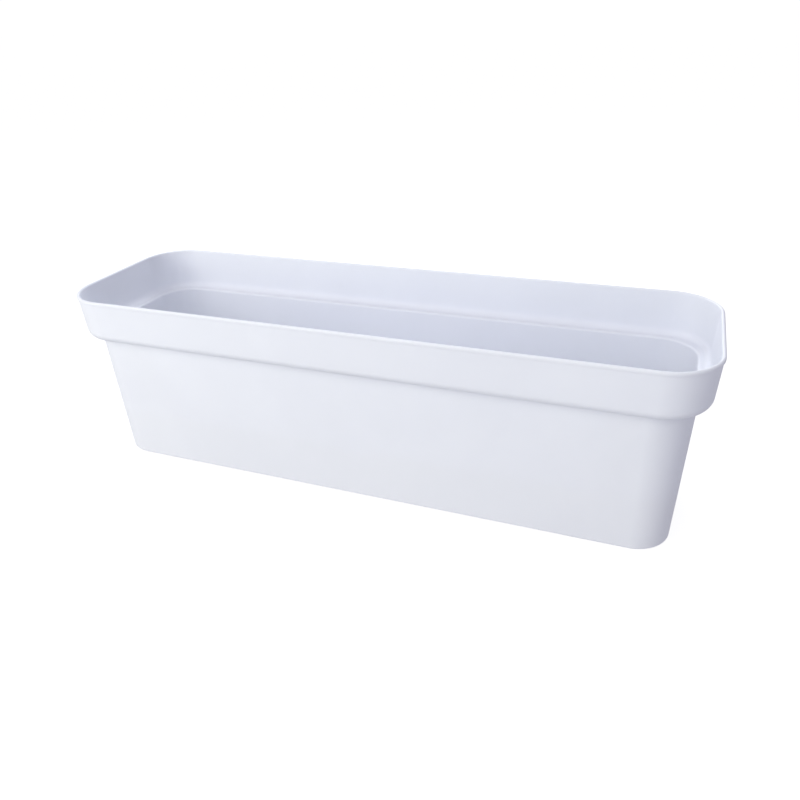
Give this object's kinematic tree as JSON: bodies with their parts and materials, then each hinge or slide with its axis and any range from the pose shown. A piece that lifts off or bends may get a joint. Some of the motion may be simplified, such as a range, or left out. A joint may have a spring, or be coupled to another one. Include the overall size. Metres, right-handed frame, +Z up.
{
  "type": "self watering planter",
  "caption": "Long tapered window trough with a stepped collar, holding a water reservoir under a raised perforated soil floor with net cups, a capped corner filler and a float gauge.",
  "frame": {"origin": "centre of the footprint, on the surface that the feet stand on", "axes": "+X along the length towards the filler's end, +Y across the width towards the back, +Z up"},
  "size_m": [0.6, 0.175, 0.179],
  "materials": {
    "shell": "satin moulded polypropylene, cool white",
    "insert": "satin moulded polypropylene, cool white",
    "filler": "satin moulded polypropylene, light grey",
    "pin": "drawn stainless wire",
    "clear": "clear styrene",
    "marker": "gloss red",
    "float": "matt hollow-moulded polypropylene",
    "seal": "matt rubber"
  },
  "bodies": {
    "trough": {"trough": "shell", "overflow_pipe": "shell"},
    "left_floor": {"soil_floor_left": "insert", "gauge_tube": "clear", "gauge_guide": "float", "gauge_dome": "clear"},
    "right_floor": {"soil_floor_right": "insert", "fill_pipe": "filler", "fill_funnel": "filler", "cap_hinge_pin": "pin"},
    "net_cup_1": {"net_cup_1": "insert"},
    "net_cup_2": {"net_cup_2": "insert"},
    "net_cup_3": {"net_cup_3": "insert"},
    "net_cup_4": {"net_cup_4": "insert"},
    "filler_cap": {"fill_cap": "filler"},
    "float": {"gauge_float": "float", "gauge_rod": "float", "gauge_marker": "marker"},
    "drain_seal": {"drain_seal": "seal"},
    "drain_screw": {"drain_screw": "filler"}
  },
  "joints": [
    {"name": "left_floor_lift", "type": "slide", "parent": "trough", "child": "left_floor", "axis": [0, 0, 1], "range_m": [0, 0.18]},
    {"name": "right_floor_lift", "type": "slide", "parent": "trough", "child": "right_floor", "axis": [0, 0, 1], "range_m": [0, 0.18]},
    {"name": "net_cup_1_lift", "type": "slide", "parent": "left_floor", "child": "net_cup_1", "axis": [0, 0, 1], "range_m": [0, 0.12]},
    {"name": "net_cup_2_lift", "type": "slide", "parent": "left_floor", "child": "net_cup_2", "axis": [0, 0, 1], "range_m": [0, 0.12]},
    {"name": "net_cup_3_lift", "type": "slide", "parent": "right_floor", "child": "net_cup_3", "axis": [0, 0, 1], "range_m": [0, 0.12]},
    {"name": "net_cup_4_lift", "type": "slide", "parent": "right_floor", "child": "net_cup_4", "axis": [0, 0, 1], "range_m": [0, 0.12]},
    {"name": "cap_flip", "type": "hinge", "parent": "right_floor", "child": "filler_cap", "pos_m": [0.2505, -0.045, 0.1462], "axis": [0, 1, 0], "range_deg": [0, 110]},
    {"name": "float_rise", "type": "slide", "parent": "left_floor", "child": "float", "axis": [0, 0, 1], "range_m": [0, 0.024]},
    {"name": "drain_travel", "type": "slide", "parent": "trough", "child": "drain_seal", "axis": [0, 0, -1], "range_m": [0, 0.0142]},
    {"name": "drain_turn", "type": "hinge", "parent": "drain_seal", "child": "drain_screw", "pos_m": [0.135, 0, 0.0048], "axis": [0, 0, -1], "range_deg": [0, 1704]}
  ],
  "couplings": [
    {"joint": "drain_travel", "follows": "drain_turn", "m_per_rad": 0.00047746}
  ]
}
